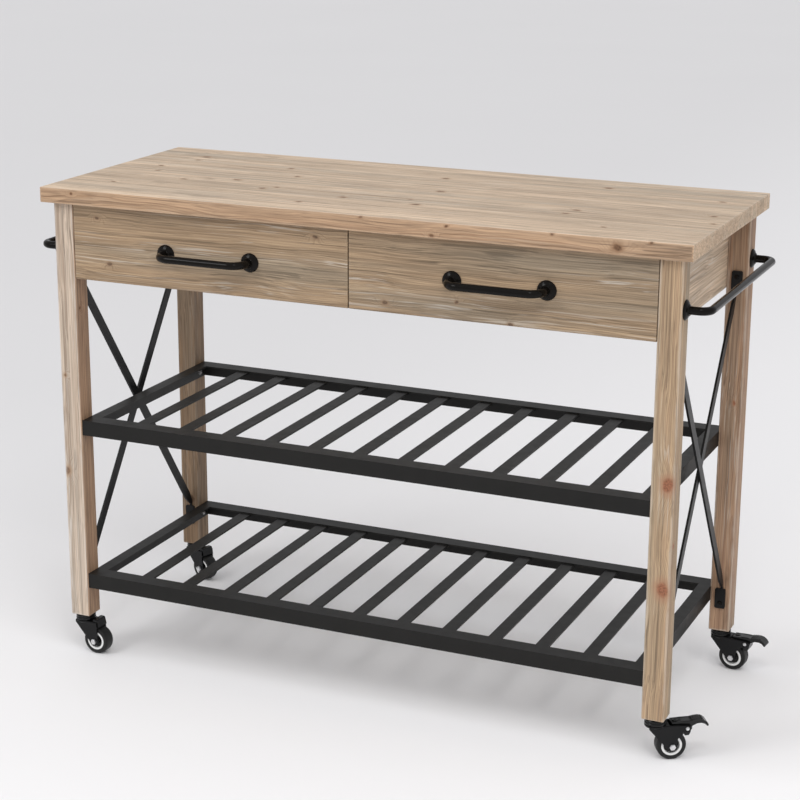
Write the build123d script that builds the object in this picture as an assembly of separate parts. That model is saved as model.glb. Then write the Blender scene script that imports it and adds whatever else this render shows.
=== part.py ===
from build123d import *
import os

# Kitchen island cart: wooden top and legs, two drawers side by side, two slatted
# steel shelves, crossed steel bars at both ends, a towel bar at each end and four
# swivel casters, the right-hand pair with foot brakes.
# Units are mm. +X is to the right, +Y to the back, +Z up.
# The origin is on the floor under the middle of the cart's overall outline, with its
# handles and pedals. Every piece is drawn around the worktop's middle, and save()
# moves it from there to its place in that frame.

# ---------- driving dimensions ----------
worktop_middle_x = -13.0
worktop_middle_y = 15.5

worktop_length = 1227.0
worktop_depth = 508.0
worktop_thickness = 28.0
overall_height = 917.0
worktop_edge_round = 1.5
worktop_corner_round = 2.0

leg_size = 40.0
leg_centre_x = 575.0
leg_centre_y = 218.0
leg_bottom = 78.0
leg_edge_chamfer = 1.5

panel_thickness = 15.0
panel_bottom = 748.0
divider_thickness = 16.0
back_panel_inset = 1.0
cleat_size = 18.0
cleat_length = 400.0

front_thickness = 18.0
front_gap = 2.0
front_to_leg_gap = 1.2
front_seat_gap = 0.5
front_edge_round = 1.5

box_side_thickness = 12.0
box_bottom_z = 765.0
box_top_z = 865.0
box_depth = 410.0
box_panel_thickness = 6.0
box_groove_depth = 5.0
box_groove_z = 773.0
box_side_gap = 12.7

slide_length = 400.0
slide_centre_z = 815.0
slide_steel = 1.2
channel_height = 35.0
channel_depth = 10.5
runner_height = 26.0
runner_depth = 9.0
slide_inset = 2.0

bar_diameter = 14.0
bar_projection = 40.0
flange_diameter = 34.5
flange_rim = 1.5
flange_collar_radius = 9.5
flange_height = 8.0
flange_clearance = 0.05

pull_spacing = 170.0
pull_places = {"right": (278.6, 816.0), "left": (276.2, 811.4)}
pull_bend_radius = 25.0

towel_bar_spacing = 436.0
towel_bar_z = 802.0
towel_bend_radius = 18.0

shelf_tops = {"upper_shelf": 474.0, "lower_shelf": 166.0}
shelf_length = 1110.0
shelf_depth = 470.0
angle_height = 29.0
long_angle_flange = 33.0
end_angle_flange = 24.0
angle_steel = 3.0
slat_count = 11
slat_width = 24.0
slat_thickness = 4.0
slat_pitch = 89.2
shelf_bolt_y = 208.0
shelf_bolt_drop = 16.0
shelf_bolt_radius = 3.0
shelf_bolt_head_radius = 5.5
shelf_bolt_head_height = 4.0
shelf_bolt_length = 28.0

brace_width = 18.0
brace_thickness = 4.0
brace_gap = 0.3
brace_neck_length = 8.0
brace_taper_length = 22.0
tab_width = 20.0
tab_length = 40.0
tab_thickness = 3.5
tab_corner_round = 3.5
upper_tab_bottom = 741.0
lower_tab_bottom = 125.0
tab_screw_from_end = 11.0
screw_radius = 2.5
fastener_clearance = 0.05
screw_length = 22.0
screw_head_radius = 4.6
screw_head_height = 2.6

stem_radius = 5.0
stem_length = 28.0
insert_radius = 7.5
insert_length = 32.0
race_radius = 19.3
race_waist_radius = 18.3
race_top = 77.5
race_waist_z = 71.5
race_bottom = 66.0
kingpin_radius = 4.0
kingpin_head_radius = 8.0
kingpin_head_bottom = 58.8
crown_top = 65.5
crown_disc_radius = 19.0
crown_lip_radius = 15.5
crown_lip_bottom = 60.8
crown_thickness = 3.0
running_clearance = 0.05

wheel_radius = 26.5
wheel_width = 24.0
wheel_trail = 28.0
tyre_inner_radius = 18.6
wheel_ring_inner_radius = 14.2
wheel_hub_radius = 8.0
wheel_web_half = 4.0
axle_radius = 4.0
axle_nut_radius = 5.7
axle_nut_height = 3.6
fork_inner_half = 13.5
fork_plate = 2.5
fork_front = 14.0
fork_boss_radius = 9.5
fork_foot_x = (19.5, 36.5)
fork_foot_z = 22.5
fork_shoulder_z = 60.5
fork_crown_round = 2.0
hood_reach_top = 34.5
hood_reach_bottom = 38.0
hood_start = 25.0
hood_half_width = 13.4
hood_wall = 2.0
hood_bottom = 55.5
hood_top = 70.5
hood_round = 3.0

brake_pivot_x = 54.0
brake_pivot_z = 59.0
brake_rivet_radius = 2.2
brake_rivet_head_radius = 3.4
brake_rivet_head_height = 1.6
brake_half_width = 10.5
pedal_ear_radius = 5.0
pedal_ear_thickness = 2.3

casters = {
    "front_left": {"side": (-1, -1), "turn": -3.3, "brake": False},
    "rear_left": {"side": (-1, 1), "turn": -18.8, "brake": False},
    "front_right": {"side": (1, -1), "turn": 31.3, "brake": True},
    "rear_right": {"side": (1, 1), "turn": -5.8, "brake": True},
}

# ---------- dimensions that follow ----------
worktop_bottom = overall_height - worktop_thickness
leg_inner_x = leg_centre_x - leg_size / 2
leg_outer_x = leg_centre_x + leg_size / 2
leg_inner_y = leg_centre_y - leg_size / 2
leg_outer_y = leg_centre_y + leg_size / 2
front_back_y = -leg_outer_y + front_thickness
carcass_front_y = front_back_y + front_seat_gap
back_panel_y = leg_outer_y - back_panel_inset - panel_thickness
panel_inner_x = leg_inner_x - panel_thickness
box_outer_x = panel_inner_x - box_side_gap
box_inner_x = divider_thickness / 2 + box_side_gap
box_back_y = front_back_y + box_depth

os.makedirs("parts", exist_ok=True)


def save(name, *solids):
    """Write one node; several separate solids go into one file."""
    placed = [Pos(worktop_middle_x, worktop_middle_y, 0) * solid for solid in solids]
    shape = placed[0] if len(placed) == 1 else Compound(children=placed)
    export_step(shape, f"parts/{name}.step")


def block(x, y, z):
    """A box from its low and high limits along each axis."""
    low = (min(x), min(y), min(z))
    size = (abs(x[1] - x[0]), abs(y[1] - y[0]), abs(z[1] - z[0]))
    return Pos(*low) * Box(*size, align=(Align.MIN, Align.MIN, Align.MIN))


def prism(points, low, high):
    """A solid with an outline in the XZ plane, from y = low to y = high."""
    outline = make_face(Polyline(*points, close=True))
    face = Plane.XZ * outline
    return Pos(0, low, 0) * extrude(face, -(high - low))


def turned(points):
    """A solid turned about Z from (radius, height) points."""
    outline = make_face(Polyline(*[(r, 0, h) for r, h in points], close=True))
    return revolve(outline, Axis.Z)


def round_bar(points, bend_radius, radius):
    """A round bar that follows a path of straight lines with bent corners."""
    path = FilletPolyline(*points, radius=bend_radius)
    ring = Plane(origin=path @ 0, z_dir=path % 0) * Circle(radius)
    return sweep(ring, path=path)


def upright(radius, length, start=0.0):
    """A cylinder along +Z whose lower end is at z = start."""
    return Pos(0, 0, start) * Cylinder(
        radius, length, align=(Align.CENTER, Align.CENTER, Align.MIN)
    )


def mirrored(shape, plane):
    return mirror(shape, about=plane)


# ---------- worktop and carcass ----------
worktop = block(
    (-worktop_length / 2, worktop_length / 2),
    (-worktop_depth / 2, worktop_depth / 2),
    (worktop_bottom, overall_height),
)
worktop = fillet(worktop.edges().filter_by(Axis.Z), worktop_corner_round)
worktop = fillet(
    worktop.faces().sort_by(Axis.Z)[-1].edges() + worktop.faces().sort_by(Axis.Z)[0].edges(),
    worktop_edge_round,
)
save("worktop", worktop)

for side, name in ((-1, "left"), (1, "right")):
    save(
        f"side_panel_{name}",
        block(
            (side * panel_inner_x, side * leg_inner_x),
            (carcass_front_y, back_panel_y),
            (panel_bottom, worktop_bottom),
        ),
    )

save(
    "back_panel",
    block(
        (-leg_inner_x, leg_inner_x),
        (back_panel_y, back_panel_y + panel_thickness),
        (panel_bottom, worktop_bottom),
    ),
)
save(
    "centre_divider",
    block(
        (-divider_thickness / 2, divider_thickness / 2),
        (carcass_front_y, back_panel_y),
        (panel_bottom, worktop_bottom),
    ),
)
save(
    "worktop_cleats",
    *[
        block(
            (side * (panel_inner_x - cleat_size), side * panel_inner_x),
            (-cleat_length / 2, cleat_length / 2),
            (worktop_bottom - cleat_size, worktop_bottom),
        )
        for side in (-1, 1)
    ],
)


# ---------- drawer slides ----------
def slide_profile(height, depth, length):
    """A C-section along Y that opens towards -X, its web's back on x = 0."""
    outer = block((-depth, 0), (0, length), (-height / 2, height / 2))
    hollow = block(
        (-depth, -slide_steel),
        (0, length),
        (-height / 2 + slide_steel, height / 2 - slide_steel),
    )
    return outer - hollow


channel = Pos(0, -slide_length / 2, slide_centre_z) * slide_profile(
    channel_height, channel_depth, slide_length
)
outer_channel = Pos(panel_inner_x, 0, 0) * channel
inner_channel = Pos(divider_thickness / 2, 0, 0) * mirrored(channel, Plane.YZ)
right_channels = [outer_channel, inner_channel]
left_channels = [mirrored(piece, Plane.YZ) for piece in right_channels]
save("slide_channels", *right_channels, *left_channels)

runner = Pos(0, front_back_y + slide_inset, slide_centre_z) * slide_profile(
    runner_height, runner_depth, slide_length
)


# ---------- bent bars with domed flanges ----------
def flange():
    """A domed round flange standing on z = 0 around the end of a bar."""
    bore = bar_diameter / 2 + flange_clearance
    rim = flange_diameter / 2
    outline = [
        (bore, 0),
        (rim, 0),
        (rim, flange_rim),
        (rim - 1.4, 3.2),
        (rim - 3.6, 4.6),
        (rim - 5.8, 5.5),
        (flange_collar_radius + 0.6, 6.2),
        (flange_collar_radius, 7.2),
        (flange_collar_radius - 0.9, flange_height),
        (bore, flange_height),
    ]
    return turned(outline)


# ---------- drawers ----------
def drawer_pieces(hand):
    """Every piece of a drawer by name, drawn as the right-hand one."""
    pull_centre_x, pull_centre_z = pull_places[hand]
    front = block(
        (front_gap / 2, leg_inner_x - front_to_leg_gap),
        (-leg_outer_y, front_back_y),
        (panel_bottom, worktop_bottom - front_gap),
    )
    front = fillet(front.faces().sort_by(Axis.Y)[0].edges(), front_edge_round)

    groove_z = (box_groove_z, box_groove_z + box_panel_thickness)
    sides = []
    for outer, inner, groove in (
        (box_outer_x, box_outer_x - box_side_thickness, box_groove_depth),
        (box_inner_x, box_inner_x + box_side_thickness, -box_groove_depth),
    ):
        board = block((outer, inner), (front_back_y, box_back_y), (box_bottom_z, box_top_z))
        slot = block((inner, inner + groove), (front_back_y, box_back_y), groove_z)
        sides.append(board - slot)

    inside_x = (box_inner_x + box_side_thickness, box_outer_x - box_side_thickness)
    back = block(
        inside_x,
        (box_back_y - box_side_thickness, box_back_y),
        (groove_z[1], box_top_z),
    )
    bottom = block(
        (inside_x[0] - box_groove_depth, inside_x[1] + box_groove_depth),
        (front_back_y, box_back_y),
        groove_z,
    )

    bar_y = -leg_outer_y - bar_projection
    half = pull_spacing / 2
    pull = round_bar(
        [
            (pull_centre_x - half, -leg_outer_y, pull_centre_z),
            (pull_centre_x - half, bar_y, pull_centre_z),
            (pull_centre_x + half, bar_y, pull_centre_z),
            (pull_centre_x + half, -leg_outer_y, pull_centre_z),
        ],
        pull_bend_radius,
        bar_diameter / 2,
    )
    flanges = [
        Pos(pull_centre_x + end * half, -leg_outer_y, pull_centre_z) * Rot(90, 0, 0) * flange()
        for end in (-1, 1)
    ]
    outer_runner = Pos(box_outer_x, 0, 0) * mirrored(runner, Plane.YZ)
    inner_runner = Pos(box_inner_x, 0, 0) * runner
    return {
        "front": [front],
        "sides": sides,
        "back": [back],
        "bottom": [bottom],
        "pull": [pull],
        "pull_flanges": flanges,
        "runners": [outer_runner, inner_runner],
    }


for piece, solids in drawer_pieces("right").items():
    save(f"drawer_right_{piece}", *solids)
for piece, solids in drawer_pieces("left").items():
    save(f"drawer_left_{piece}", *[mirrored(solid, Plane.YZ) for solid in solids])

# ---------- towel bars ----------
half = towel_bar_spacing / 2
towel_bar_x = leg_outer_x + bar_projection
towel_bar = round_bar(
    [
        (leg_outer_x, -half, towel_bar_z),
        (towel_bar_x, -half, towel_bar_z),
        (towel_bar_x, half, towel_bar_z),
        (leg_outer_x, half, towel_bar_z),
    ],
    towel_bend_radius,
    bar_diameter / 2,
)
save("towel_bar_right", towel_bar)
save("towel_bar_left", mirrored(towel_bar, Plane.YZ))
right_flanges = [
    Pos(leg_outer_x, end * half, towel_bar_z) * Rot(0, 90, 0) * flange() for end in (-1, 1)
]
left_flanges = [mirrored(solid, Plane.YZ) for solid in right_flanges]
save("towel_bar_flanges", *right_flanges, *left_flanges)


# ---------- shelves ----------
def mitred(solid, corners):
    """Keep the part of a solid inside an outline seen from above."""
    outline = make_face(Polyline(*corners, close=True))
    return solid & extrude(outline, overall_height)


def shelf_rails(top):
    """The four steel angles of a shelf frame, with mitred corners."""
    x, y = shelf_length / 2, shelf_depth / 2
    web_z = (top - angle_height, top)
    flange_z = (top - angle_steel, top)
    inner_x, inner_y = x - end_angle_flange, y - long_angle_flange
    front = block((-x, x), (-y, -y + angle_steel), web_z)
    front += block((-x, x), (-y, -inner_y), flange_z)
    front = mitred(front, [(-x, -y), (x, -y), (inner_x, -inner_y), (-inner_x, -inner_y)])
    end = block((x - angle_steel, x), (-y, y), web_z)
    end += block((inner_x, x), (-y, y), flange_z)
    end = mitred(end, [(x, -y), (x, y), (inner_x, inner_y), (inner_x, -inner_y)])
    back = mirrored(front, Plane.XZ)
    return [front, back], [end, mirrored(end, Plane.YZ)]


shelf_bolt_places = [
    Pos(side_x * (shelf_length / 2 - angle_steel), side_y * shelf_bolt_y, top - shelf_bolt_drop)
    * Rot(0, -90 * side_x, 0)
    for top in shelf_tops.values()
    for side_x in (-1, 1)
    for side_y in (-1, 1)
]
shelf_bolt_hole = upright(
    shelf_bolt_radius + fastener_clearance, shelf_bolt_length + 1, -shelf_bolt_length - 1
)
shelf_bolt_holes = [place * shelf_bolt_hole for place in shelf_bolt_places]

for shelf, top in shelf_tops.items():
    long_rails, end_rails = shelf_rails(top)
    end_rails = [rail - shelf_bolt_holes for rail in end_rails]
    save(f"{shelf}_long_rails", *long_rails)
    save(f"{shelf}_end_rails", *end_rails)
    slat_half = shelf_depth / 2 - angle_steel
    slats = []
    for index in range(slat_count):
        x = (index - (slat_count - 1) / 2) * slat_pitch
        slats.append(
            block(
                (x - slat_width / 2, x + slat_width / 2),
                (-slat_half, slat_half),
                (top - angle_steel - slat_thickness, top - angle_steel),
            )
        )
    save(f"{shelf}_slats", *slats)


def hex_bar(corner_radius, length):
    """A hexagonal bar along +Z from z = 0."""
    return extrude(RegularPolygon(corner_radius, 6), length)


shelf_bolt = hex_bar(shelf_bolt_head_radius, shelf_bolt_head_height)
shelf_bolt += upright(shelf_bolt_radius, shelf_bolt_length, -shelf_bolt_length)
shelf_bolts = [place * shelf_bolt for place in shelf_bolt_places]
save("shelf_bolts", *shelf_bolts)


# ---------- crossed end braces ----------
def tab(bottom, up):
    """A brace end standing flat on the plane y = 0, with rounded corners."""
    outline = RectangleRounded(tab_width, tab_length, tab_corner_round)
    plate = Rot(90, 0, 0) * extrude(outline, tab_thickness)
    shape = Pos(0, 0, bottom + tab_length / 2) * plate
    hole_z = bottom + (tab_length - tab_screw_from_end if up else tab_screw_from_end)
    hole = Pos(0, 0, hole_z) * Rot(90, 0, 0) * Cylinder(screw_radius + 0.2, 4 * tab_thickness)
    return shape - hole


def brace(low_x, high_x):
    """One diagonal flat bar, high at the front and low at the back, with a tab at each end."""
    face = leg_inner_y
    neck_top = upper_tab_bottom - brace_neck_length
    neck_bottom = lower_tab_bottom + tab_length + brace_neck_length
    start = Vector(0, -face + tab_thickness, neck_top)
    along = (Vector(0, face - tab_thickness, neck_bottom) - start).normalized()
    across = Vector(0, -along.Z, along.Y) * (brace_width / 2)
    shoulder = start + along * brace_taper_length
    upper_half = [
        shoulder - across,
        Vector(0, -face, neck_top - tab_thickness),
        Vector(0, -face, upper_tab_bottom + 1),
        Vector(0, -face + tab_thickness, upper_tab_bottom + 1),
        Vector(0, -face + tab_thickness, neck_top + tab_thickness),
        shoulder + across,
    ]
    middle_z = (neck_top + neck_bottom) / 2
    lower_half = [Vector(0, -point.Y, 2 * middle_z - point.Z) for point in upper_half]
    outline = make_face(Polyline(*upper_half, *lower_half, close=True))
    bar = Pos(low_x, 0, 0) * extrude(outline, high_x - low_x, dir=(1, 0, 0))
    upper_tab = mirrored(Pos(0, face, 0) * tab(upper_tab_bottom, True), Plane.XZ)
    lower_tab = Pos(0, face, 0) * tab(lower_tab_bottom, False)
    return bar + upper_tab + lower_tab


inner_x = brace_gap / 2
outer_x = inner_x + brace_thickness
for side, name in ((-1, "left"), (1, "right")):
    falling = brace(inner_x, outer_x)
    rising = mirrored(brace(-outer_x, -inner_x), Plane.XZ)
    save(f"brace_{name}_front_to_back", Pos(side * leg_centre_x, 0, 0) * falling)
    save(f"brace_{name}_back_to_front", Pos(side * leg_centre_x, 0, 0) * rising)

screw_head = turned(
    [
        (0, 0),
        (screw_head_radius, 0),
        (screw_head_radius * 0.86, screw_head_height * 0.6),
        (screw_head_radius * 0.5, screw_head_height),
        (0, screw_head_height),
    ]
)
brace_screw = screw_head + upright(screw_radius, screw_length, -screw_length)
brace_screw_hole = upright(screw_radius + fastener_clearance, screw_length + 1, -screw_length - 1)
screw_heights = (
    upper_tab_bottom + tab_length - tab_screw_from_end,
    lower_tab_bottom + tab_screw_from_end,
)
brace_screw_places = [
    Pos(side_x * leg_centre_x, side_y * (leg_inner_y - tab_thickness), height)
    * Rot(90 * side_y, 0, 0)
    for side_x in (-1, 1)
    for side_y in (-1, 1)
    for height in screw_heights
]
save("brace_screws", *[place * brace_screw for place in brace_screw_places])

# ---------- legs ----------
insert_socket = upright(insert_radius, insert_length, leg_bottom)
for name, caster in casters.items():
    side_x, side_y = caster["side"]
    leg = block(
        (-leg_size / 2, leg_size / 2),
        (-leg_size / 2, leg_size / 2),
        (leg_bottom, worktop_bottom),
    )
    leg = chamfer(
        leg.edges().filter_by(Axis.Z) + leg.faces().sort_by(Axis.Z)[0].edges(),
        leg_edge_chamfer,
    )
    leg = Pos(side_x * leg_centre_x, side_y * leg_centre_y, 0) * (leg - insert_socket)
    leg -= shelf_bolt_holes
    leg -= [place * brace_screw_hole for place in brace_screw_places]
    save(f"leg_{name}", leg)


# ---------- casters ----------
# Each caster is drawn trailing towards +X from a swivel axis at x = y = 0.
stem = turned(
    [
        (0, kingpin_head_bottom),
        (kingpin_head_radius, kingpin_head_bottom),
        (kingpin_head_radius, crown_top - crown_thickness - 0.4),
        (kingpin_radius, crown_top - crown_thickness - 0.4),
        (kingpin_radius, race_bottom),
        (race_radius - 1.4, race_bottom),
        (race_radius - 0.4, race_bottom + 0.8),
        (race_radius, race_bottom + 2.2),
        (race_radius - 0.2, race_waist_z - 1.6),
        (race_waist_radius, race_waist_z - 0.3),
        (race_waist_radius, race_waist_z + 0.3),
        (race_radius - 0.3, race_waist_z + 1.5),
        (race_radius - 0.4, race_top - 2.6),
        (race_radius - 1.4, race_top - 1.0),
        (race_radius - 3.4, race_top),
        (stem_radius, race_top),
        (stem_radius, leg_bottom + stem_length),
        (0, leg_bottom + stem_length),
    ]
)
sleeve = upright(insert_radius, insert_length, leg_bottom)
sleeve -= upright(stem_radius + running_clearance, insert_length, leg_bottom)

axle_line = Pos(wheel_trail, 0, wheel_radius) * Rot(90, 0, 0)
rivet_line = Pos(brake_pivot_x, 0, brake_pivot_z) * Rot(90, 0, 0)
fork_outer_half = fork_inner_half + fork_plate

tyre = turned(
    [
        (tyre_inner_radius, -wheel_width / 2 + 0.6),
        (tyre_inner_radius + 1.2, -wheel_width / 2),
        (wheel_radius - 3.2, -wheel_width / 2),
        (wheel_radius - 1.2, -wheel_width / 2 + 1.0),
        (wheel_radius - 0.2, -wheel_width / 2 + 3.2),
        (wheel_radius, -wheel_width / 2 + 6.0),
        (wheel_radius, wheel_width / 2 - 6.0),
        (wheel_radius - 0.2, wheel_width / 2 - 3.2),
        (wheel_radius - 1.2, wheel_width / 2 - 1.0),
        (wheel_radius - 3.2, wheel_width / 2),
        (tyre_inner_radius + 1.2, wheel_width / 2),
        (tyre_inner_radius, wheel_width / 2 - 0.6),
    ]
)
wheel_bore = axle_radius + running_clearance
core_half = [
    (wheel_bore, 12.6),
    (wheel_hub_radius, 12.6),
    (wheel_hub_radius, wheel_web_half),
    (wheel_ring_inner_radius, wheel_web_half),
    (wheel_ring_inner_radius, 11.0),
    (wheel_ring_inner_radius + 0.8, 11.6),
    (tyre_inner_radius - 0.8, 11.6),
    (tyre_inner_radius, 11.0),
]
core = turned(core_half + [(r, -h) for r, h in reversed(core_half)])


def fork_hood():
    """The boxed guard behind the crown of a fork without a brake, with its side lugs."""
    inner_half = hood_half_width - hood_wall
    side_view = [
        (hood_start, hood_bottom),
        (hood_reach_bottom, hood_bottom),
        (hood_reach_top, hood_top),
        (hood_start, hood_top),
    ]
    hood = prism(side_view, -hood_half_width, hood_half_width)
    rear_top_edge = hood.edges().filter_by(Axis.Y).sort_by(lambda e: e.center().X + e.center().Z)[-1]
    hood = fillet(rear_top_edge, hood_round)
    hollow = [
        (hood_start - 1, hood_bottom - 1),
        (hood_reach_bottom - hood_wall, hood_bottom - 1),
        (hood_reach_top - hood_wall, hood_top - hood_wall),
        (hood_start - 1, hood_top - hood_wall),
    ]
    hood -= prism(hollow, -inner_half, inner_half)
    hood -= block(
        (hood_start - 1, hood_start + 5),
        (-hood_half_width - 1, hood_half_width + 1),
        (hood_bottom - 1, crown_top),
    )
    for side in (-1, 1):
        hood += block(
            (hood_start + 3, hood_start + 8.9),
            (side * inner_half, side * fork_inner_half),
            (hood_bottom + 2.5, crown_top - 1),
        )
    return hood


def fork(brake):
    """The swivelling fork: a crown over two side plates that hold the axle."""
    plate_top = crown_top - 0.01
    outline = [
        (-fork_front, plate_top),
        (-fork_front, fork_shoulder_z),
        (fork_foot_x[0], fork_foot_z),
        (fork_foot_x[1], fork_foot_z),
    ]
    if brake:
        outline += [(37.5, 41), (48, 51), (58, 54), (62, 60), (60, 64), (36, plate_top)]
        crown_end = 23.0
    else:
        outline += [(35, 43), (34, plate_top)]
        crown_end = 34.0
    shape = block(
        (-fork_front, crown_end),
        (-fork_outer_half, fork_outer_half),
        (crown_top - crown_thickness, crown_top),
    )
    for low in (-fork_outer_half, fork_inner_half):
        shape += prism(outline, low, low + fork_plate)
        shape += Pos(0, low + fork_plate / 2, 0) * axle_line * Cylinder(fork_boss_radius, fork_plate)
    shape = fillet(shape.edges().filter_by(Axis.X).group_by(Axis.Z)[-1], fork_crown_round)
    shape += turned(
        [
            (0, crown_top - crown_thickness),
            (crown_lip_radius - 1.0, crown_top - crown_thickness),
            (crown_lip_radius, crown_lip_bottom),
            (crown_disc_radius - 1.2, crown_lip_bottom + 0.8),
            (crown_disc_radius, crown_lip_bottom + 2.4),
            (crown_disc_radius, crown_top),
            (0, crown_top),
        ]
    )
    if not brake:
        shape += fork_hood()
    shape -= Pos(0, 0, crown_top) * Cylinder(kingpin_radius + running_clearance, 20)
    shape -= axle_line * Cylinder(axle_radius + running_clearance, 4 * fork_inner_half)
    if brake:
        shape -= rivet_line * Cylinder(brake_rivet_radius + running_clearance, 4 * fork_inner_half)
    return shape


def axle_bolt():
    """The axle bolt with its hexagon head, and the nut on the other end."""
    length = 2 * fork_outer_half + axle_nut_height + 1.5
    bolt = upright(axle_radius, length, -fork_outer_half - 0.02)
    bolt += Pos(0, 0, -fork_outer_half - 0.02) * mirrored(
        hex_bar(axle_nut_radius, axle_nut_height), Plane.XY
    )
    nut = Pos(0, 0, fork_outer_half + 0.02) * hex_bar(axle_nut_radius, axle_nut_height)
    nut -= Cylinder(axle_radius + running_clearance, 100)
    return [axle_line * bolt, axle_line * nut]


def brake_rivet():
    """The headed pin through the fork ears that the pedal turns on."""
    pin = Cylinder(brake_rivet_radius, 2 * fork_outer_half + 0.1)
    for side in (-1, 1):
        head = turned(
            [
                (0, 0),
                (brake_rivet_head_radius, 0),
                (brake_rivet_head_radius * 0.8, brake_rivet_head_height * 0.75),
                (brake_rivet_head_radius * 0.4, brake_rivet_head_height),
                (0, brake_rivet_head_height),
            ]
        )
        head = Pos(0, 0, fork_outer_half + 0.02) * head
        pin += head if side > 0 else mirrored(head, Plane.XY)
    return rivet_line * pin


def brake_pedal():
    """The foot lever with its brake shoe, in the released position."""
    outline = [
        (27.0, 67.4),
        (27.5, 69.0),
        (45.0, 70.2),
        (60.0, 70.4),
        (69.0, 72.4),
        (77.0, 73.2),
        (84.0, 71.6),
        (89.5, 67.6),
        (92.4, 63.4),
        (92.8, 61.2),
        (91.6, 59.8),
        (89.8, 60.2),
        (86.0, 64.2),
        (80.0, 66.2),
        (72.0, 65.7),
        (64.0, 61.8),
        (61.8, 57.0),
        (60.8, 50.0),
        (58.0, 44.5),
        (50.9, 44.1),
        (50.0, 50.0),
        (49.4, 56.5),
        (44.0, 61.8),
        (30.0, 65.2),
    ]
    pedal = prism(outline, -brake_half_width, brake_half_width)
    for side in (-1, 1):
        ear_y = side * (brake_half_width + pedal_ear_thickness / 2 - 0.01)
        pedal += Pos(0, ear_y, 0) * rivet_line * Cylinder(pedal_ear_radius, pedal_ear_thickness)
    return pedal - rivet_line * Cylinder(brake_rivet_radius + running_clearance, 60)


stems = []
sleeves = []
for name, caster in casters.items():
    side_x, side_y = caster["side"]
    under_leg = Pos(side_x * leg_centre_x, side_y * leg_centre_y, 0)
    place = under_leg * Rot(0, 0, caster["turn"])
    stems.append(under_leg * stem)
    sleeves.append(under_leg * sleeve)
    fasteners = axle_bolt()
    if caster["brake"]:
        fasteners.append(brake_rivet())
        save(f"caster_{name}_brake_pedal", place * brake_pedal())
    save(f"caster_{name}_fork", place * fork(caster["brake"]))
    save(f"caster_{name}_bolts", *[place * solid for solid in fasteners])
    save(f"caster_{name}_tyre", place * axle_line * tyre)
    save(f"caster_{name}_wheel_core", place * axle_line * core)
save("caster_stems", *stems)
save("leg_inserts", *sleeves)
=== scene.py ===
import math
import random
import bmesh
import bpy
from mathutils import Matrix, Vector


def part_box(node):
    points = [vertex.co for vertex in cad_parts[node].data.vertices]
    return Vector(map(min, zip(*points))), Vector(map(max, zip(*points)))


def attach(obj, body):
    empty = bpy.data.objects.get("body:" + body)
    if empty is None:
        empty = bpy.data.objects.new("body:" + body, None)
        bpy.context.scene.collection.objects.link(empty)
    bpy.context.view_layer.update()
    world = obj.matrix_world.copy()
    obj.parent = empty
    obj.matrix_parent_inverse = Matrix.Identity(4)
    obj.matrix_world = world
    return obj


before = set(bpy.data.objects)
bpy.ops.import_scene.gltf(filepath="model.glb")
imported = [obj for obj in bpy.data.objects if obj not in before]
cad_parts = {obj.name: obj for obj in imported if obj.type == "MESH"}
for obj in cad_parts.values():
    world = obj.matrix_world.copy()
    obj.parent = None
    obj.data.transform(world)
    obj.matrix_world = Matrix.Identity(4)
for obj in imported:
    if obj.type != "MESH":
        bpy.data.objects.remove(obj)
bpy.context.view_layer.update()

# Kitchen island cart: limed softwood top, legs and drawers over black steel shelves.
# Metres, in the CAD frame: +X to the right, +Y to the back, +Z up.

X, Y, Z = 0, 1, 2
top_low, top_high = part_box("worktop")
middle = (top_low + top_high) / 2


def at(x, y, z):
    """A point given from the middle of the worktop's outline, on the floor."""
    return Vector((middle.x + x, middle.y + y, z))


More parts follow.
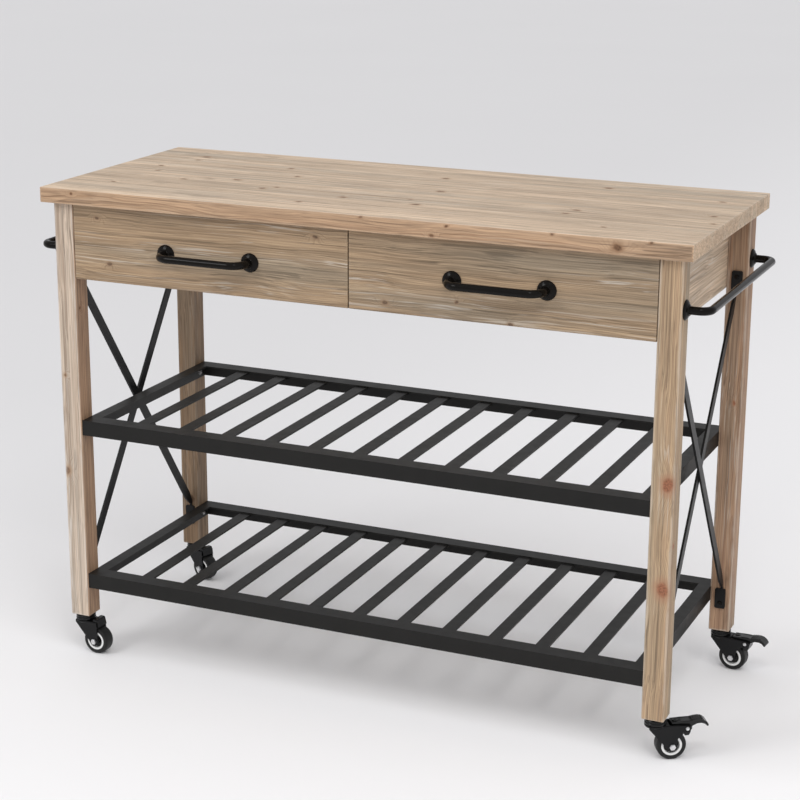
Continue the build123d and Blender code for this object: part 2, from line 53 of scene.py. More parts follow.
# ---------- material graphs ----------
class Graph:
    """A short way to write one material's nodes."""

    def __init__(self, name):
        self.material = bpy.data.materials.new(name)
        self.material.use_nodes = True
        self.tree = self.material.node_tree
        self.shader = self.tree.nodes["Principled BSDF"]
        self.place = self.node("TexCoord").outputs["Object"]
        self.normal = self.node("NewGeometry").outputs["Normal"]

    def node(self, kind, inputs=(), **settings):
        """Add a shader node, with its inputs by name or number and its settings by keyword."""
        node = self.tree.nodes.new("ShaderNode" + kind)
        for key, setting in settings.items():
            setattr(node, key, setting)
        for key, value in dict(inputs).items():
            self.feed(node.inputs[key], value)
        return node

    def feed(self, socket, value):
        """Link an output to a socket, or set the socket to a constant."""
        if isinstance(value, bpy.types.NodeSocket):
            self.tree.links.new(value, socket)
        else:
            socket.default_value = value

    def math(self, operation, *values):
        return self.node("Math", enumerate(values), operation=operation).outputs[0]

    def add(self, a, b):
        return self.math("ADD", a, b)

    def sub(self, a, b):
        return self.math("SUBTRACT", a, b)

    def mul(self, a, b):
        return self.math("MULTIPLY", a, b)

    def div(self, a, b):
        return self.math("DIVIDE", a, b)

    def combine(self, x, y, z):
        return self.node("CombineXYZ", {"X": x, "Y": y, "Z": z}).outputs[0]

    def split(self, vector):
        return self.node("SeparateXYZ", {"Vector": vector}).outputs[:3]

    def vector(self, operation, *values):
        node = self.node("VectorMath", enumerate(values), operation=operation)
        return node.outputs["Value" if operation in ("DISTANCE", "LENGTH") else "Vector"]

    def scaled(self, vector, x, y, z):
        return self.vector("MULTIPLY", vector, (x, y, z))

    def noise(self, vector, scale=1.0, detail=2.0, roughness=0.5):
        inputs = {"Vector": vector, "Scale": scale, "Detail": detail, "Roughness": roughness}
        return self.node("TexNoise", inputs).outputs["Fac"]

    def smooth(self, value, low, high, to=1.0):
        """0 up to low, to from high on, and a smooth step between; low may be above high."""
        inputs = {"Value": value, "From Min": low, "From Max": high, "To Max": to}
        return self.node("MapRange", inputs, interpolation_type="SMOOTHSTEP").outputs["Result"]

    def curve(self, value, *stops):
        """A soft curve through (position, height) stops."""
        ramp = self.node("ValToRGB", {"Fac": value})
        elements = ramp.color_ramp.elements
        while len(elements) < len(stops):
            elements.new(0.5)
        for element, (position, height) in zip(elements, stops):
            element.position = position
            element.color = (height, height, height, 1)
        return ramp.outputs["Color"]

    def mix(self, factor, a, b, blend="MIX"):
        """Blend two colours; sockets 0, 6 and 7 are the factor and the two colours."""
        node = self.node("Mix", data_type="RGBA", blend_type=blend, clamp_factor=True)
        for socket, value in zip((node.inputs[0], node.inputs[6], node.inputs[7]), (factor, a, b)):
            self.feed(socket, (*value, 1) if isinstance(value, tuple) else value)
        return node.outputs[2]

    def shade(self, colour, factor):
        """A colour made brighter or darker by a factor that varies."""
        return self.mix(1.0, colour, self.combine(factor, factor, factor), "MULTIPLY")

    def bump(self, height, distance, strength=1.0):
        inputs = {"Height": height, "Distance": distance, "Strength": strength}
        return self.node("Bump", inputs).outputs["Normal"]

    def finish(self, **inputs):
        """Feed the shader's inputs, named with underscores for spaces, and hand back the material."""
        for key, value in inputs.items():
            socket = self.shader.inputs[key.replace("_", " ")]
            self.feed(socket, (*value, 1) if isinstance(value, tuple) else value)
        return self.material


# ---------- wood ----------
PINE = {
    "early": (0.600, 0.468, 0.342),
    "late": (0.370, 0.262, 0.172),
    "streak": (0.430, 0.312, 0.218),
    "grey": (0.430, 0.385, 0.315),
    "limed": (0.680, 0.620, 0.540),
    "knot": (0.205, 0.125, 0.075),
    "halo": (0.370, 0.245, 0.155),
}
PALE = dict(
    PINE,
    early=(0.585, 0.478, 0.380),
    late=(0.350, 0.258, 0.185),
    streak=(0.360, 0.262, 0.192),
    grey=(0.470, 0.425, 0.370),
    limed=(0.760, 0.720, 0.670),
)
BROWN = dict(
    PINE,
    early=(0.356, 0.252, 0.157),
    late=(0.196, 0.128, 0.073),
    streak=(0.228, 0.151, 0.089),
    grey=(0.255, 0.210, 0.152),
    limed=(0.560, 0.500, 0.430),
    knot=(0.130, 0.080, 0.048),
    halo=(0.255, 0.165, 0.100),
)
TAN = dict(
    PINE,
    early=(0.446, 0.318, 0.200),
    late=(0.268, 0.172, 0.098),
    streak=(0.340, 0.220, 0.135),
    grey=(0.350, 0.290, 0.205),
    knot=(0.270, 0.110, 0.058),
    halo=(0.360, 0.190, 0.110),
)
RED = dict(
    TAN,
    early=(0.375, 0.240, 0.152),
    late=(0.232, 0.130, 0.073),
    streak=(0.285, 0.160, 0.100),
    grey=(0.282, 0.220, 0.156),
)
DARK = dict(
    BROWN,
    early=(0.262, 0.172, 0.102),
    late=(0.165, 0.100, 0.055),
    streak=(0.186, 0.115, 0.066),
    grey=(0.185, 0.145, 0.103),
    limed=(0.380, 0.330, 0.270),
)
RAW = dict(
    PINE,
    early=(0.640, 0.500, 0.335),
    late=(0.510, 0.365, 0.215),
    streak=(0.560, 0.420, 0.270),
    grey=(0.560, 0.470, 0.350),
)


class Timber(Graph):
    """One softwood part: sawn from one log, or made of boards glued side by side.
    grain and across are axis numbers; board is the width of the glued boards, if there are any."""

    knot_rim = 0.72  # a knot's dark rim, as a share of its stated radius

    def __init__(self, name, node, grain, across, tones, seed, board):
        super().__init__(name)
        self.grain, self.tones, self.board = grain, tones, board
        low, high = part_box(node)
        self.centre, self.half = (low + high) / 2, (high - low) / 2
        self.local = self.vector("SUBTRACT", self.place, tuple(self.centre))
        self.parts = self.split(self.local)
        along, a, b = self.parts[grain], self.parts[across], self.parts[X + Y + Z - grain - across]
        if board:
            index = self.math("FLOOR", self.add(self.div(a, board), 0.5))
            a = self.sub(a, self.mul(index, board))
            chance = self.node("TexWhiteNoise", {"W": self.add(index, seed + 0.37)}, noise_dimensions="1D")
            c1, c2, c3 = self.split(chance.outputs["Color"])
        else:
            pick = random.Random(seed)
            c1, c2, c3 = (pick.random() for _ in range(3))
        self.in_board, self.board_chance = a, c3

        wander = self.noise(self.combine(
            self.mul(along, 3.6), self.add(self.mul(a, 13.0), self.mul(c2, 40.0)), self.mul(b, 13.0)))
        drift = self.mul(self.sub(wander, 0.5), 0.022)
        drifted_a, drifted_b = self.add(a, drift), self.add(b, drift)
        self.stock = self.combine(
            self.add(along, self.mul(c1, 9.0)), self.add(drifted_a, self.mul(c2, 5.0)),
            self.add(drifted_b, self.mul(c3, 5.0)))
        side = self.math("SIGN", self.sub(c1, 0.5))
        pith_a = self.mul(side, self.add(self.mul(c2, 0.07), 0.035))
        pith_b = self.sub(self.mul(c3, -0.06), 0.02)
        self.from_pith = self.sub(drifted_a, pith_a), self.sub(b, pith_b)
        self.fine = self.fibres(14.0, 900.0, 3.0)

    def fibres(self, along_scale, cross_scale, detail=2.0):
        """Noise drawn out along the grain."""
        return self.noise(self.scaled(self.stock, along_scale, cross_scale, cross_scale), 1.0, detail)

    def nearest_knot(self, knots):
        """How near a point is to the closest knot, where 1 is that knot's rim."""
        stretch = [1.0, 1.0, 1.0]
        stretch[self.grain] = 0.7
        cloud = self.node("TexNoise", {"Vector": self.local, "Scale": 55.0}).outputs["Color"]
        wobble = self.scaled(cloud, 0.008, 0.008, 0.008)
        point = self.scaled(self.vector("ADD", self.local, wobble), *stretch)
        nearest = 20.0
        for spot, radius in knots:
            home = spot - self.centre + Vector((0.004, 0.004, 0.004))
            home = tuple(h * s for h, s in zip(home, stretch))
            distance = self.vector("DISTANCE", point, home)
            nearest = self.math("MINIMUM", self.div(distance, radius * self.knot_rim), nearest)
        return nearest

    def late_wood(self, ring, nearest):
        """Growth rings around a pith, which bulge around knots: near 0 in early wood, 1 in late wood."""
        bend = self.mul(self.sub(self.fibres(1.7, 7.0), 0.5), 0.030)
        ripple = self.mul(self.sub(self.fibres(9.0, 60.0), 0.5), 0.0030)
        near_a, near_b = self.from_pith
        radius = self.math("SQRT", self.add(self.mul(near_a, near_a), self.mul(near_b, near_b)))
        radius = self.add(radius, self.add(bend, ripple))
        if nearest:
            radius = self.add(radius, self.smooth(nearest, 4.5, 0.4, 0.010))
        phase = self.div(radius, ring)
        number = self.math("FLOOR", phase)
        strength = self.node("TexWhiteNoise", {"W": number}, noise_dimensions="1D").outputs["Value"]
        rise = self.curve(self.math("FRACT", phase), (0.0, 0.10), (0.45, 0.18), (0.82, 0.85), (0.93, 1.0),
                          (1.0, 0.10))
        return self.mul(rise, self.add(self.mul(strength, 0.7), 0.3))

    def figure(self, late, grey):
        """The planed surface: ring colours, streaks, a grey cast, fine lines, checks and scrapes."""
        colour = self.mix(late, self.tones["early"], self.tones["late"])
        streaks = self.smooth(self.fibres(3.0, 170.0, 3.0), 0.44, 0.70)
        colour = self.mix(self.mul(streaks, 0.65), colour, self.tones["streak"])
        cast = self.smooth(self.fibres(1.1, 16.0), 0.46, 0.72)
        colour = self.mix(self.mul(cast, grey), colour, self.tones["grey"])
        colour = self.shade(colour, self.add(self.mul(self.fine, 0.40), 0.80))
        lines = self.smooth(self.fibres(5.0, 330.0, 4.0), 0.36, 0.64)
        colour = self.shade(colour, self.add(self.mul(lines, 0.30), 0.85))
        checks = self.smooth(self.fibres(3.2, 300.0, 4.0), 0.585, 0.635)
        colour = self.shade(colour, self.sub(1.0, self.mul(checks, 0.34)))
        scratches = self.smooth(self.fibres(9.0, 240.0, 4.0), 0.62, 0.70)
        scrapes = self.mul(scratches, self.smooth(self.fibres(3.0, 15.0), 0.50, 0.64))
        colour = self.mix(self.mul(scrapes, 0.55), colour, self.tones["limed"])
        bands = self.mul(self.smooth(self.fibres(1.6, 95.0), 0.32, 0.68), 0.20)
        tone = self.add(self.add(self.mul(self.fibres(0.9, 11.0), 0.26), 0.77), bands)
        if self.board:
            tone = self.mul(tone, self.add(self.mul(self.board_chance, 0.22), 0.89))
        return self.shade(colour, tone)

    def lime(self, colour, pores, limed):
        """White lime left in patches of the grain, and the dark open pores."""
        patches = self.smooth(self.fibres(2.2, 26.0), 0.45, 0.66)
        filled = self.mul(self.smooth(self.fibres(6.0, 330.0), 0.54, 0.68), patches)
        colour = self.mix(self.mul(filled, limed), colour, self.tones["limed"])
        return self.shade(colour, self.sub(1.0, self.mul(pores, 0.30)))

    def knot_marks(self, colour, height, nearest):
        """A halo of darker, discoloured wood around each knot and a dark, sunken heart."""
        colour = self.mix(self.smooth(nearest, 2.1, 0.8, 0.75), colour, self.tones["halo"])
        heart = self.smooth(nearest, 1.12, 0.55)
        rays = self.add(self.mul(self.noise(self.local, 420.0), 1.5), 0.25)
        colour = self.mix(heart, colour, self.shade(self.tones["knot"], rays))
        return colour, self.sub(height, self.mul(heart, 0.6))

    def seams(self, colour, height):
        """The thin dark glue lines between boards."""
        edge = self.board / 2
        seam = self.smooth(self.math("ABSOLUTE", self.in_board), edge - 0.0009, edge - 0.0002)
        colour = self.shade(colour, self.sub(1.0, self.mul(seam, 0.32)))
        return colour, self.sub(height, self.mul(seam, 0.5))

    def worn_edges(self, colour, rubbed):
        """Pale wood where the staining is rubbed off within a few millimetres of an edge."""
        depth = [self.sub(h, self.math("ABSOLUTE", part)) for h, part in zip(self.half, self.parts)]
        least = self.math("MINIMUM", depth[X], depth[Y])
        other = self.math("MAXIMUM", depth[X], depth[Y])
        to_edge = self.math("MAXIMUM", least, self.math("MINIMUM", other, depth[Z]))
        uneven = self.mul(self.sub(self.fibres(22.0, 60.0), 0.5), 0.009)
        worn = self.smooth(self.add(to_edge, uneven), 0.0050, 0.0005, rubbed)
        return self.mix(worn, colour, self.tones["limed"])

    def stain_or_painted_shade(self, colour, facing, stain_or_shade):
        """Multiply the colour by a factor on the faces that look one way: real staining on the worktop's
        edge and ends, painted shade on the front left leg's inner face.
        """
        turned = self.node("VectorMath", {0: self.normal, 1: facing}, operation="DOT_PRODUCT")
        there = self.smooth(turned.outputs["Value"], 0.45, 0.75)
        return self.mix(there, colour, self.mix(1.0, colour, stain_or_shade, "MULTIPLY"))


def wood(name, node, grain, across, tones, seed, board=None, knots=(), limed=0.35, ring=0.0032,
         grey=0.5, tints=(), rubbed=0.30):
    """Solid softwood for a CAD node. knots are (place, radius); limed and grey are how strong the lime
    and the grey cast are; ring is the width of a growth ring; each tint is a facing direction with
    the factor multiplied into that face, real staining or painted shade; rubbed is how pale the worn edges
    are."""
    g = Timber(name, node, grain, across, tones, seed, board)
    nearest = g.nearest_knot(knots) if knots else None
    late = g.late_wood(ring, nearest)
    pores = g.smooth(g.fibres(7.0, 620.0), 0.60, 0.74)
    colour = g.lime(g.figure(late, grey), pores, limed)
    height = g.add(g.mul(late, 0.30), g.mul(g.fine, 0.45))
    height = g.sub(height, g.mul(pores, 0.5))
    if nearest:
        colour, height = g.knot_marks(colour, height, nearest)
    if board:
        colour, height = g.seams(colour, height)
    colour = g.worn_edges(colour, rubbed)
    for facing, stain_or_shade in tints:
        colour = g.stain_or_painted_shade(colour, facing, stain_or_shade)
    rough = g.sub(g.add(g.mul(g.fine, 0.22), 0.52), g.mul(late, 0.10))
    return g.finish(Base_Color=colour, Roughness=rough, Normal=g.bump(height, 0.0005, 0.8),
                    Specular_IOR_Level=0.35)


# ---------- metal, plastic and rubber ----------
def painted_steel(name, colour, roughness, shine, orange_peel=0.00006, dust=0.0, coat=0.0):
    """Black paint or powder coat: a dimpled skin, uneven sheen, a little dust on level faces."""
    g = Graph(name)
    cloud = g.noise(g.place, 22.0, 4.0)
    fleck = g.noise(g.place, 1500.0, 1.0)
    tone = g.add(g.add(g.mul(cloud, 0.45), 0.62), g.mul(fleck, 0.30))
    base = g.shade(colour, tone)
    if dust:
        level = g.smooth(g.split(g.normal)[Z], 0.6, 0.95)
        specks = g.smooth(g.noise(g.place, 120.0, 5.0, 0.7), 0.42, 0.75)
        base = g.mix(g.mul(g.mul(level, specks), dust), base, (0.30, 0.28, 0.26))
    sheen = g.add(g.mul(g.noise(g.place, 60.0, 3.0), 0.16), roughness - 0.08)
    peel = g.add(g.mul(g.noise(g.place, 650.0, 2.0), 0.7), g.mul(g.noise(g.place, 140.0, 2.0), 0.5))
    return g.finish(Base_Color=base, Roughness=sheen, Normal=g.bump(peel, orange_peel),
                    Coat_Weight=coat, Coat_Roughness=0.10, Specular_IOR_Level=shine)


def plated_steel(name, colour, roughness, axis):
    """Zinc plate: bright, with fine drawing lines along one axis and dull spots."""
    g = Graph(name)
    lines = [2600.0, 2600.0, 2600.0]
    lines[axis] = 60.0
    drawn = g.noise(g.scaled(g.place, *lines), 1.0, 2.0)
    dull = g.smooth(g.noise(g.place, 90.0, 4.0), 0.45, 0.72)
    base = g.shade(g.mix(g.mul(dull, 0.5), colour, (0.42, 0.42, 0.41)), g.add(g.mul(drawn, 0.3), 0.85))
    rough = g.add(g.add(g.mul(drawn, 0.16), roughness), g.mul(dull, 0.18))
    return g.finish(Base_Color=base, Metallic=1.0, Roughness=rough, Normal=g.bump(drawn, 0.00003))


def rubber(name, colour, grime):
    """Moulded rubber: soft mottling and scuffs with a little grime."""
    g = Graph(name)
    mottle = g.noise(g.place, 90.0, 4.0)
    marks = g.smooth(g.noise(g.scaled(g.place, 260.0, 260.0, 700.0), 1.0, 4.0, 0.65), 0.52, 0.78)
    base = g.shade(colour, g.add(g.mul(mottle, 0.24), 0.88))
    base = g.mix(g.mul(marks, 0.25), base, grime)
    rough = g.add(g.mul(marks, 0.16), g.add(g.mul(mottle, 0.10), 0.38))
    return g.finish(Base_Color=base, Roughness=rough, Normal=g.bump(mottle, 0.00015),
                    Specular_IOR_Level=0.25)


def wheel_plastic(name, node, turn):
    """A white nylon ring, with the recess inside it round the hub coloured near-black as painted shade;
    the two are told apart by their distance from the axle. turn is the caster's swivel angle in degrees."""
    g = Graph(name)
    low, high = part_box(node)
    axle = (-math.sin(math.radians(turn)), math.cos(math.radians(turn)), 0.0)
    local = g.vector("SUBTRACT", g.place, tuple((low + high) / 2))
    along = g.node("VectorMath", {0: local, 1: axle}, operation="DOT_PRODUCT").outputs["Value"]
    radial = g.vector("SUBTRACT", local, g.vector("MULTIPLY", g.combine(along, along, along), axle))
    radius = g.vector("LENGTH", radial)
    white = g.smooth(radius, 0.0139, 0.0143)
    scuff = g.smooth(g.noise(g.place, 300.0, 4.0, 0.65), 0.50, 0.80)
    ring = g.mix(g.mul(scuff, 0.25), (0.80, 0.80, 0.79), (0.42, 0.40, 0.37))
    # Painted shade: the recess inside the white ring is coloured near-black.
    recess_painted_shade = g.shade((0.012, 0.012, 0.012), g.add(g.noise(g.place, 120.0, 3.0), 0.5))
    colour = g.mix(white, recess_painted_shade, ring)
    rough = g.add(g.mul(scuff, 0.2), 0.30)
    return g.finish(Base_Color=colour, Roughness=rough, Normal=g.bump(scuff, 0.00008),
                    Specular_IOR_Level=0.35)


def plywood(name):
    """Thin birch plywood: pale face grain, with veneer lines that show at the cut edges."""
    g = Graph(name)
    z = g.split(g.place)[Z]
    grain = g.noise(g.scaled(g.place, 260.0, 5.0, 260.0), 1.0, 4.0)
    flame = g.noise(g.scaled(g.place, 22.0, 2.0, 22.0), 1.0, 3.0)
    face = g.mix(g.smooth(grain, 0.35, 0.70), (0.66, 0.52, 0.35), (0.54, 0.40, 0.25))
    face = g.shade(face, g.add(g.mul(flame, 0.30), 0.84))
    veneer = g.smooth(g.math("PINGPONG", z, 0.0010), 0.0002, 0.0008)
    upright = g.smooth(g.math("ABSOLUTE", g.split(g.normal)[Z]), 0.8, 0.4)
    edges = g.mix(veneer, (0.34, 0.24, 0.15), (0.60, 0.47, 0.31))
    colour = g.mix(upright, face, edges)
    rough = g.add(g.mul(grain, 0.2), 0.5)
    return g.finish(Base_Color=colour, Roughness=rough, Normal=g.bump(grain, 0.0002))


def dress(material, *nodes):
    """Give CAD nodes a material in place of their packed one."""
    for name in nodes:
        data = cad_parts[name].data
        data.materials.clear()
        data.materials.append(material)


# ---------- wooden parts ----------
top = top_high.z
board_width = 0.508 / 11
# Where the knots lie from front to back, from the middle of the worktop.
front_edge = -0.254
drawer_face = leg_face = -0.238
leg_side = -0.226
rear_leg_face = 0.198
worktop_knots = [
    (at(-0.501, 0.168, top), 0.009),
    (at(-0.497, 0.128, top), 0.006),
    (at(-0.530, 0.043, top), 0.006),
    (at(-0.508, -0.009, top), 0.005),
    (at(-0.522, -0.148, top), 0.005),
    (at(-0.416, -0.071, top), 0.006),
    (at(-0.322, -0.036, top), 0.007),
    (at(-0.239, -0.094, top), 0.006),
    (at(-0.221, -0.074, top), 0.005),
    (at(-0.287, 0.117, top), 0.006),
    (at(-0.236, 0.044, top), 0.006),
    (at(-0.121, -0.185, top), 0.006),
    (at(-0.069, -0.112, top), 0.007),
    (at(0.047, -0.079, top), 0.005),
    (at(0.077, -0.123, top), 0.008),
    (at(0.024, 0.143, top), 0.007),
    (at(0.068, 0.014, top), 0.007),
    (at(0.332, 0.176, top), 0.008),
    (at(0.348, -0.051, top), 0.007),
    (at(0.341, -0.087, top), 0.006),
    (at(0.558, 0.130, top), 0.006),
    (at(0.579, -0.007, top), 0.006),
    (at(0.595, -0.071, top), 0.005),
    (at(0.438, -0.173, top), 0.005),
    (at(0.032, front_edge, top - 0.004), 0.003),
    (at(0.188, front_edge, top - 0.005), 0.003),
    (at(0.162, front_edge, top - 0.024), 0.004),
    (at(0.375, front_edge, top - 0.003), 0.003),
    (at(0.488, front_edge, top - 0.015), 0.008),
    (at(0.543, front_edge, top - 0.003), 0.003),
    (at(-0.547, front_edge, top - 0.008), 0.003),
]
worktop_tints = [
    ((0, -1, 0), (1.04, 0.88, 0.75)),
    ((1, 0, 0), (0.93, 0.88, 0.82)),
    ((-1, 0, 0), (0.93, 0.88, 0.82)),
]
top_wood = wood("limed_boards", "worktop", X, Y, PINE, 11, board=board_width, knots=worktop_knots,
                limed=0.34, ring=0.0030, grey=0.45, tints=worktop_tints, rubbed=0.14)
dress(top_wood, "worktop")

drawer_knots = {
    "left": [
        (at(-0.503, drawer_face, 0.866), 0.005),
        (at(-0.480, drawer_face, 0.782), 0.005),
        (at(-0.062, drawer_face, 0.868), 0.005),
    ],
    "right": [
        (at(0.070, drawer_face, 0.765), 0.006),
        (at(0.203, drawer_face, 0.780), 0.004),
        (at(0.300, drawer_face, 0.750), 0.005),
    ],
}
for hand, seed in (("left", 5), ("right", 8)):
    name = f"drawer_{hand}_front"
    front = wood(f"front_wood_{hand}", name, X, Z, BROWN, seed, knots=drawer_knots[hand], limed=0.60,
                 ring=0.0034, grey=0.7, rubbed=0.04)
    dress(front, name)

leg_knots = {
    "front_right": [
        (at(0.584, leg_face, 0.506), 0.014),
        (at(0.583, leg_face, 0.320), 0.015),
        (at(0.595, leg_side, 0.397), 0.005),
    ],
    "front_left": [
        (at(-0.586, leg_face, 0.560), 0.004),
        (at(-0.590, leg_face, 0.372), 0.009),
        (at(-0.555, leg_side, 0.690), 0.004),
    ],
    "rear_left": [(at(-0.571, rear_leg_face, 0.180), 0.009)],
    "rear_right": [(at(0.581, rear_leg_face, 0.532), 0.004)],
}
for place, seed, tones in (
    ("front_left", 21, PALE),
    ("front_right", 26, TAN),
    ("rear_left", 33, DARK),
    ("rear_right", 37, RED),
):
    name = f"leg_{place}"
    # Painted shade: the front left leg's right face, turned in under the drawers, is multiplied by (0.64,
    # 0.50, 0.40).
    tints = [((1, 0, 0), (0.64, 0.50, 0.40))] if place == "front_left" else ()
    leg = wood(f"leg_wood_{place}", name, Z, X, tones, seed, knots=leg_knots[place], limed=0.45,
               ring=0.0028, grey=0.6, tints=tints)
    dress(leg, name)

for hand, seed in (("left", 41), ("right", 44)):
    name = f"side_panel_{hand}"
    dress(wood(f"panel_wood_{hand}", name, Y, Z, PINE, seed, limed=0.90, grey=0.7), name)
dress(wood("back_wood", "back_panel", X, Z, BROWN, 47, limed=0.5), "back_panel")
dress(wood("divider_wood", "centre_divider", Y, Z, RAW, 51, limed=0.1, grey=0.2), "centre_divider")
dress(wood("cleat_wood", "worktop_cleats", Y, Z, RAW, 53, limed=0.1, grey=0.2), "worktop_cleats")
for hand, seed in (("left", 57), ("right", 61)):
    for part, grain in (("sides", Y), ("back", X)):
        name = f"drawer_{hand}_{part}"
        dress(wood(f"box_wood_{hand}_{part}", name, grain, Z, RAW, seed, limed=0.1, grey=0.2), name)
dress(plywood("birch_plywood"), "drawer_left_bottom", "drawer_right_bottom")

# ---------- metal, plastic and rubber parts ----------
shelf_steel = painted_steel("satin_powder_coat", (0.0115, 0.0110, 0.0102), 0.46, 0.20, dust=0.030)
brace_steel = painted_steel("brace_powder_coat", (0.0090, 0.0090, 0.0092), 0.36, 0.16)
iron = painted_steel("forged_iron_paint", (0.0055, 0.0046, 0.0038), 0.14, 0.10, coat=0.04)
caster_steel = painted_steel("caster_paint", (0.0050, 0.0050, 0.0055), 0.22, 0.18, 0.00004, coat=0.10)
race_enamel = painted_steel("race_enamel", (0.0040, 0.0040, 0.0042), 0.14, 0.20, 0.00002, coat=0.12)
pedal_paint = painted_steel("pedal_paint", (0.0060, 0.0060, 0.0060), 0.24, 0.26, coat=0.20)
zinc = plated_steel("bright_zinc", (0.78, 0.78, 0.79), 0.22, Z)
slide_zinc = plated_steel("rolled_zinc", (0.66, 0.67, 0.69), 0.30, Y)
tyre_rubber = rubber("black_tread", (0.012, 0.012, 0.012), (0.035, 0.033, 0.031))

for shelf in ("upper_shelf", "lower_shelf"):
    dress(shelf_steel, f"{shelf}_long_rails", f"{shelf}_end_rails", f"{shelf}_slats")
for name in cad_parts:
    if name.startswith("brace_"):
        dress(iron if name == "brace_screws" else brace_steel, name)
    elif name.endswith(("_pull", "_pull_flanges")) or name.startswith("towel_bar"):
        dress(iron, name)
    elif name == "caster_stems":
        dress(race_enamel, name)
    elif name.endswith("_fork"):
        dress(caster_steel, name)
    elif name.endswith("_brake_pedal"):
        dress(pedal_paint, name)
    elif name.endswith("_bolts") or name == "leg_inserts":
        dress(zinc, name)
    elif name == "slide_channels" or name.endswith("_runners"):
        dress(slide_zinc, name)
    elif name.endswith("_tyre"):
        dress(tyre_rubber, name)

caster_turns = {"front_left": -3.3, "rear_left": -18.8, "front_right": 31.3, "rear_right": -5.8}
for place, turn in caster_turns.items():
    core = f"caster_{place}_wheel_core"
    dress(wheel_plastic(f"nylon_{place}", core, turn), core)


# ---------- small pieces that the CAD leaves out ----------
def piece(name, bm, material, body):
    """Turn a finished bmesh into an object that rides a body."""
    for face in bm.faces:
        face.smooth = True
    mesh = bpy.data.meshes.new(name)
    bm.to_mesh(mesh)
    bm.free()
    mesh.materials.append(material)
    made = bpy.data.objects.new(name, mesh)
    bpy.context.scene.collection.objects.link(made)
    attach(made, body)


def loft(bm, rings):
    """Skin a row of rings of points and close both ends."""
    loops = [[bm.verts.new(point) for point in ring] for ring in rings]
    for one, two in zip(loops, loops[1:]):
        for i in range(len(one)):
            j = (i + 1) % len(one)
            bm.faces.new((one[i], one[j], two[j], two[i]))
    bm.faces.new(reversed(loops[0]))
    bm.faces.new(loops[-1])


def circle(sides):
    """The angles of evenly spaced points around a circle."""
    return [2 * math.pi * i / sides for i in range(sides)]


def lathe(bm, place, profile):
    """Turn (radius, height) points about the Z axis of a placed frame."""
    rings = []
    for radius, height in profile:
        ring = [Vector((radius * math.cos(t), radius * math.sin(t), height)) for t in circle(24)]
        rings.append([place @ point for point in ring])
    loft(bm, rings)


def bead(bm, start, end, radius, steps, pick):
    """A round bar with steps ripples from start to end, each a little uneven: a weld or a grip rib."""
    along = end - start
    side = along.cross(Vector((0, 0, 1))).normalized()
    up = side.cross(along).normalized()
    rings = []
    for step in range(2 * steps + 1):
        swell = radius * (1.0 if step % 2 else 0.80) * pick.uniform(0.92, 1.08)
        if step in (0, 2 * steps):
            swell = radius * 0.45
        centre = start + along * (step / (2 * steps))
        rings.append([centre + (side * math.cos(t) + up * math.sin(t)) * swell for t in circle(10)])
    loft(bm, rings)


pick = random.Random(3)
slat_count = 11
bead_to_rail_edge = 0.0335
first_bead = 0.0125
bead_reach = 0.0095
bead_lift = 0.0002
for shelf in ("upper_shelf", "lower_shelf"):
    slat_low, slat_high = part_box(f"{shelf}_slats")
    rail_low, rail_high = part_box(f"{shelf}_long_rails")
    pitch = (slat_high.x - slat_low.x - 2 * first_bead) / (slat_count - 1)
    z = slat_high.z + bead_lift
    bm = bmesh.new()
    for index in range(slat_count):
        x = slat_low.x + first_bead + index * pitch
        for y in (rail_low.y + bead_to_rail_edge, rail_high.y - bead_to_rail_edge):
            bead(bm, Vector((x - bead_reach, y, z)), Vector((x + bead_reach, y, z)), 0.0016, 7, pick)
    piece(f"{shelf}_weld_beads", bm, shelf_steel, "cart")

# Profiles are (radius, height) points.
screw_head = [(0.0068, 0.0), (0.0068, 0.0010), (0.0050, 0.0011), (0.0048, 0.0018), (0.0036, 0.0027),
              (0.0012, 0.0030), (0.0010, 0.0018)]
screw_inset = 0.007
for hand in ("left", "right"):
    pull_low, pull_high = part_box(f"drawer_{hand}_pull")
    inner_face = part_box(f"drawer_{hand}_front")[1].y
    bm = bmesh.new()
    for x in (pull_low.x + screw_inset, pull_high.x - screw_inset):
        back = Vector((x, inner_face, (pull_low.z + pull_high.z) / 2))
        lathe(bm, Matrix.Translation(back) @ Matrix.Rotation(math.radians(-90), 4, "X"), screw_head)
    piece(f"drawer_{hand}_pull_screws", bm, zinc, f"drawer_{hand}")

# Each pedal has a round boss over its neck, five grip ribs across its toe and a rib along each side.
boss = [(0.0052, -0.0006), (0.0052, 0.0006), (0.0046, 0.0012), (0.0034, 0.0013), (0.0030, 0.0005),
        (0.0014, 0.0004), (0.0006, 0.0012)]
boss_centre = Vector((0.0345, 0, 0.0698))
grip_count, grip_pitch, grip_start = 5, 0.0042, 0.0640
grip_reach = 0.0092
grip_arch_start, grip_arch_length, grip_arch_rise = 0.060, 0.032, 0.0022
grip_z = 0.0712
side_rib_y = 0.0088
rib_radius = 0.0009
for place in ("front_right", "rear_right"):
    leg_low, leg_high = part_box(f"leg_{place}")
    middle_of_leg = (leg_low + leg_high) / 2
    swivel = Matrix.Translation((middle_of_leg.x, middle_of_leg.y, 0)) @ Matrix.Rotation(
        math.radians(caster_turns[place]), 4, "Z")
    bm = bmesh.new()
    lathe(bm, swivel @ Matrix.Translation(boss_centre), boss)
    for step in range(grip_count):
        x = grip_start + grip_pitch * step
        z = grip_z + grip_arch_rise * math.sin(math.pi * (x - grip_arch_start) / grip_arch_length)
        bead(bm, swivel @ Vector((x, -grip_reach, z)), swivel @ Vector((x, grip_reach, z)), rib_radius, 4,
             pick)
    for side in (-1, 1):
        bead(bm, swivel @ Vector((0.0430, side_rib_y * side, 0.0701)),
             swivel @ Vector((0.0600, side_rib_y * side, 0.0706)), rib_radius, 5, pick)
    piece(f"pedal_ribs_{place}", bm, pedal_paint, f"brake_{place}")


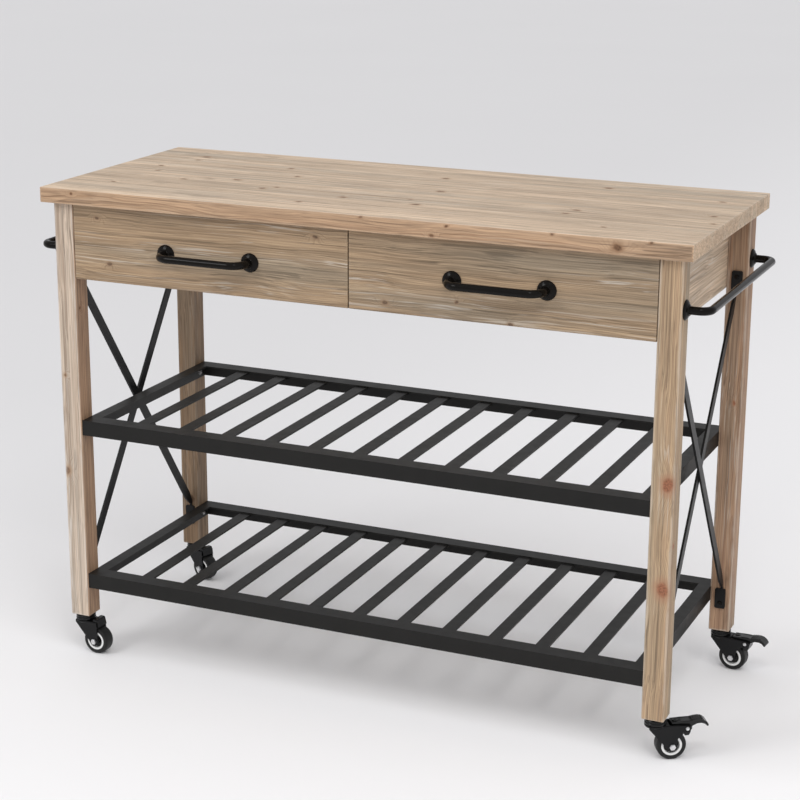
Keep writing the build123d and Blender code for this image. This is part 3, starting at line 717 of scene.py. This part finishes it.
# ---------- floor, light, camera ----------
def floor():
    """A wide level sheet of pale studio paper, with painted light: lighter near the cart and to the right.
    """
    mesh = bpy.data.meshes.new("floor")
    reach = 60.0
    corners = [(-reach, -reach, 0), (reach, -reach, 0), (reach, reach, 0), (-reach, reach, 0)]
    mesh.from_pydata(corners, [], [(0, 1, 2, 3)])
    sheet = bpy.data.objects.new("floor", mesh)
    bpy.context.scene.collection.objects.link(sheet)
    g = Graph("studio_paper")
    x, y = g.split(g.vector("SUBTRACT", g.place, tuple(at(0, 0, 0))))[:2]
    away = g.vector("LENGTH", g.combine(x, g.add(y, 0.5), 0.0))
    # Painted light on the paper: a brighter pool around the cart, and a slope from darker on the left to
    # lighter on the right.
    painted_light_pool = g.smooth(away, 2.6, 0.5, 0.100)
    painted_light_slope = g.smooth(x, -1.5, 1.5, 0.21)
    tone = g.add(g.add(painted_light_pool, painted_light_slope), g.add(g.mul(g.noise(g.place, 0.8, 2.0), 0.02), 0.918))
    paper = g.shade((0.795, 0.788, 0.793), tone)
    mesh.materials.append(g.finish(Base_Color=paper, Roughness=0.75, Specular_IOR_Level=0.2))


def softbox(name, place, target, size, watts):
    """A square area light at a place, turned to a target."""
    light = bpy.data.lights.new(name, "AREA")
    light.shape = "SQUARE"
    light.size = size
    light.energy = watts
    lamp = bpy.data.objects.new(name, light)
    bpy.context.scene.collection.objects.link(lamp)
    lamp.location = place
    lamp.rotation_euler = (target - place).to_track_quat("-Z", "Y").to_euler()


def distant(name, towards, strength, spread):
    """A broad far light from a direction, spread over an angle in degrees and without highlights."""
    light = bpy.data.lights.new(name, "SUN")
    light.energy = strength
    light.angle = math.radians(spread)
    lamp = bpy.data.objects.new(name, light)
    bpy.context.scene.collection.objects.link(lamp)
    lamp.rotation_euler = Vector(towards).to_track_quat("Z", "Y").to_euler()
    lamp.visible_glossy = False


floor()
distant("right_sky", (0.62, -0.62, 0.85), 0.95, 50)
distant("left_sky", (-0.75, -0.40, 0.80), 0.50, 50)
softbox("front_left", at(-1.7, -2.4, 2.5), at(0, 0, 0.7), 1.1, 22)
softbox("front_high", at(1.0, -1.9, 3.0), at(0.1, 0, 0.5), 0.5, 7)

world = bpy.data.worlds.new("studio")
world.use_nodes = True
backdrop = world.node_tree.nodes["Background"]
backdrop.inputs["Color"].default_value = (0.98, 0.98, 1.0, 1)
backdrop.inputs["Strength"].default_value = 0.64
bpy.context.scene.world = world
bpy.context.scene.view_settings.view_transform = "Standard"

camera_data = bpy.data.cameras.new("camera")
camera_data.lens = 89.77
camera_data.sensor_width = 36.0
camera = bpy.data.objects.new("camera", camera_data)
bpy.context.scene.collection.objects.link(camera)
camera_place = at(1.43312, -3.28619, 1.56636)
turn = Matrix.Rotation(math.radians(23.635), 4, "Z")
tip = Matrix.Rotation(math.radians(90 - 16.279), 4, "X")
roll = Matrix.Rotation(math.radians(0.29), 4, "Z")
camera.matrix_world = Matrix.Translation(camera_place) @ turn @ tip @ roll
bpy.context.scene.camera = camera
